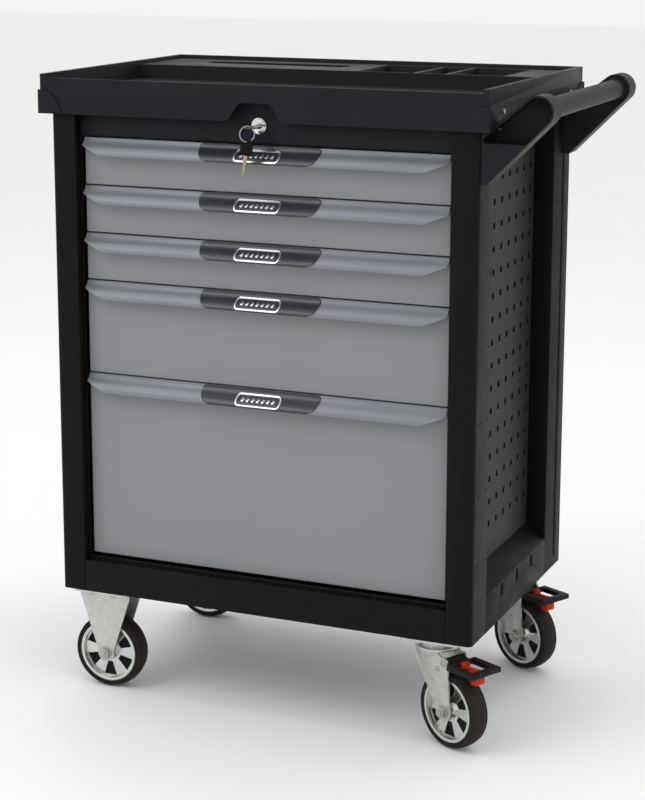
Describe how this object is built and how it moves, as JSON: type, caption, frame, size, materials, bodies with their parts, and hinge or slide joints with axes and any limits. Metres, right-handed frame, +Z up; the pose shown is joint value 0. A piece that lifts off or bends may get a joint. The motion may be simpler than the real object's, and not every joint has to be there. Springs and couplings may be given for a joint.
{
  "type": "rolling tool chest",
  "caption": "Mobile steel tool cabinet with pull-out drawers, lockable, with a moulded top tray, a side push handle, perforated sides and braked swivel casters.",
  "frame": {"origin": "plan centre of the cabinet's corner posts, at floor level", "axes": "+Z up, -Y towards the drawer side, +X towards the push handle"},
  "size_m": [0.854, 0.5285, 1.038],
  "materials": {
    "steel_black": "textured powder coat",
    "plastic_black": "grained moulding",
    "tray_plastic": "grained moulding",
    "mat_rubber": "ribbed anti-slip mat",
    "handle_black": "satin black",
    "drawer_grey": "smooth satin grey",
    "rail_aluminium": "satin anodised, brushed lengthwise",
    "grip_plastic": "satin, dark grey",
    "drawer_steel": "powder coat",
    "zinc": "zinc plated",
    "chrome": "polished",
    "key_steel": "dark nickel",
    "wheel_rubber": "moulded rubber",
    "wheel_aluminium": "cast and turned",
    "pedal_plastic": "grained, with a red release tab"
  },
  "bodies": {
    "cabinet": {"left_side_panel": "steel_black", "right_side_panel": "steel_black", "back_panel": "steel_black", "base_pan": "steel_black", "welded_frame": "steel_black", "front_posts": "plastic_black", "rear_posts": "plastic_black", "front_beam": "plastic_black", "side_skirts": "plastic_black", "top_tray": "tray_plastic", "tray_mat": "mat_rubber", "handle_brackets": "tray_plastic", "handle_tube": "handle_black", "lock_housing": "steel_black", "cabinet_slides": "zinc", "fixed_forks": "zinc", "swivel_plates": "zinc", "fasteners": "zinc"},
    "lock_plug": {"lock_plug": "chrome", "key": "key_steel"},
    "key_ring": {"key_ring": "chrome"},
    "lock_bar": {"lock_bar": "zinc"},
    "drawer_1": {"drawer_box_1": "drawer_steel", "drawer_front_1": "drawer_grey", "pull_rail_1": "rail_aluminium", "grip_1": "grip_plastic"},
    "drawer_2": {"drawer_box_2": "drawer_steel", "drawer_front_2": "drawer_grey", "pull_rail_2": "rail_aluminium", "grip_2": "grip_plastic"},
    "drawer_3": {"drawer_box_3": "drawer_steel", "drawer_front_3": "drawer_grey", "pull_rail_3": "rail_aluminium", "grip_3": "grip_plastic"},
    "drawer_4": {"drawer_box_4": "drawer_steel", "drawer_front_4": "drawer_grey", "pull_rail_4": "rail_aluminium", "grip_4": "grip_plastic"},
    "drawer_5": {"drawer_box_5": "drawer_steel", "drawer_front_5": "drawer_grey", "pull_rail_5": "rail_aluminium", "grip_5": "grip_plastic"},
    "slides_1": {"mid_slides_1": "zinc"},
    "slides_2": {"mid_slides_2": "zinc"},
    "slides_3": {"mid_slides_3": "zinc"},
    "slides_4": {"mid_slides_4": "zinc"},
    "slides_5": {"mid_slides_5": "zinc"},
    "swivel_front": {"swivel_fork_front": "zinc"},
    "swivel_rear": {"swivel_fork_rear": "zinc"},
    "wheel_fixed_front": {"tyre_fixed_front": "wheel_rubber", "rim_fixed_front": "wheel_aluminium"},
    "wheel_fixed_rear": {"tyre_fixed_rear": "wheel_rubber", "rim_fixed_rear": "wheel_aluminium"},
    "wheel_swivel_front": {"tyre_swivel_front": "wheel_rubber", "rim_swivel_front": "wheel_aluminium"},
    "wheel_swivel_rear": {"tyre_swivel_rear": "wheel_rubber", "rim_swivel_rear": "wheel_aluminium"},
    "pedal_front": {"brake_pedal_front": "pedal_plastic"},
    "pedal_rear": {"brake_pedal_rear": "pedal_plastic"}
  },
  "joints": [
    {"name": "drawer_1_slide", "type": "slide", "parent": "cabinet", "child": "drawer_1", "axis": [0, -1, 0], "range_m": [0, 0.38]},
    {"name": "slides_1_run", "type": "slide", "parent": "cabinet", "child": "slides_1", "axis": [0, -1, 0], "range_m": [0, 0.19]},
    {"name": "drawer_2_slide", "type": "slide", "parent": "cabinet", "child": "drawer_2", "axis": [0, -1, 0], "range_m": [0, 0.38]},
    {"name": "slides_2_run", "type": "slide", "parent": "cabinet", "child": "slides_2", "axis": [0, -1, 0], "range_m": [0, 0.19]},
    {"name": "drawer_3_slide", "type": "slide", "parent": "cabinet", "child": "drawer_3", "axis": [0, -1, 0], "range_m": [0, 0.38]},
    {"name": "slides_3_run", "type": "slide", "parent": "cabinet", "child": "slides_3", "axis": [0, -1, 0], "range_m": [0, 0.19]},
    {"name": "drawer_4_slide", "type": "slide", "parent": "cabinet", "child": "drawer_4", "axis": [0, -1, 0], "range_m": [0, 0.38]},
    {"name": "slides_4_run", "type": "slide", "parent": "cabinet", "child": "slides_4", "axis": [0, -1, 0], "range_m": [0, 0.19]},
    {"name": "drawer_5_slide", "type": "slide", "parent": "cabinet", "child": "drawer_5", "axis": [0, -1, 0], "range_m": [0, 0.38]},
    {"name": "slides_5_run", "type": "slide", "parent": "cabinet", "child": "slides_5", "axis": [0, -1, 0], "range_m": [0, 0.19]},
    {"name": "lock_turn", "type": "hinge", "parent": "cabinet", "child": "lock_plug", "pos_m": [0, -0.224, 0.968], "axis": [0, 1, 0], "range_deg": [0, 90]},
    {"name": "lock_bar_lift", "type": "slide", "parent": "cabinet", "child": "lock_bar", "axis": [0, 0, 1], "range_m": [0, 0.012]},
    {"name": "key_ring_swing", "type": "hinge", "parent": "lock_plug", "child": "key_ring", "pos_m": [-0.00453, -0.26232, 0.968], "axis": [-0.7071, -0.7071, 0], "range_deg": [-15, 15]},
    {"name": "swivel_front_turn", "type": "hinge", "parent": "cabinet", "child": "swivel_front", "pos_m": [0.293, -0.2, 0.16], "axis": [0, 0, 1], "continuous": true},
    {"name": "wheel_swivel_front_spin", "type": "hinge", "parent": "swivel_front", "child": "wheel_swivel_front", "pos_m": [0.32864, -0.21816, 0.0625], "axis": [0.454, 0.891, 0], "continuous": true},
    {"name": "pedal_front_press", "type": "hinge", "parent": "swivel_front", "child": "pedal_front", "pos_m": [0.32686, -0.21725, 0.142], "axis": [0.454, 0.891, 0], "range_deg": [0, 10]},
    {"name": "swivel_rear_turn", "type": "hinge", "parent": "cabinet", "child": "swivel_rear", "pos_m": [0.293, 0.174, 0.16], "axis": [0, 0, 1], "continuous": true},
    {"name": "wheel_swivel_rear_spin", "type": "hinge", "parent": "swivel_rear", "child": "wheel_swivel_rear", "pos_m": [0.32864, 0.15584, 0.0625], "axis": [0.454, 0.891, 0], "continuous": true},
    {"name": "pedal_rear_press", "type": "hinge", "parent": "swivel_rear", "child": "pedal_rear", "pos_m": [0.32686, 0.15675, 0.142], "axis": [0.454, 0.891, 0], "range_deg": [0, 10]},
    {"name": "wheel_fixed_front_spin", "type": "hinge", "parent": "cabinet", "child": "wheel_fixed_front", "pos_m": [-0.293, -0.2, 0.0625], "axis": [0, 1, 0], "continuous": true},
    {"name": "wheel_fixed_rear_spin", "type": "hinge", "parent": "cabinet", "child": "wheel_fixed_rear", "pos_m": [-0.293, 0.174, 0.0625], "axis": [0, 1, 0], "continuous": true}
  ],
  "couplings": [
    {"joint": "slides_1_run", "follows": "drawer_1_slide", "ratio": 0.5},
    {"joint": "slides_2_run", "follows": "drawer_2_slide", "ratio": 0.5},
    {"joint": "slides_3_run", "follows": "drawer_3_slide", "ratio": 0.5},
    {"joint": "slides_4_run", "follows": "drawer_4_slide", "ratio": 0.5},
    {"joint": "slides_5_run", "follows": "drawer_5_slide", "ratio": 0.5},
    {"joint": "lock_turn", "follows": "lock_bar_lift", "rad_per_m": 130.89}
  ]
}
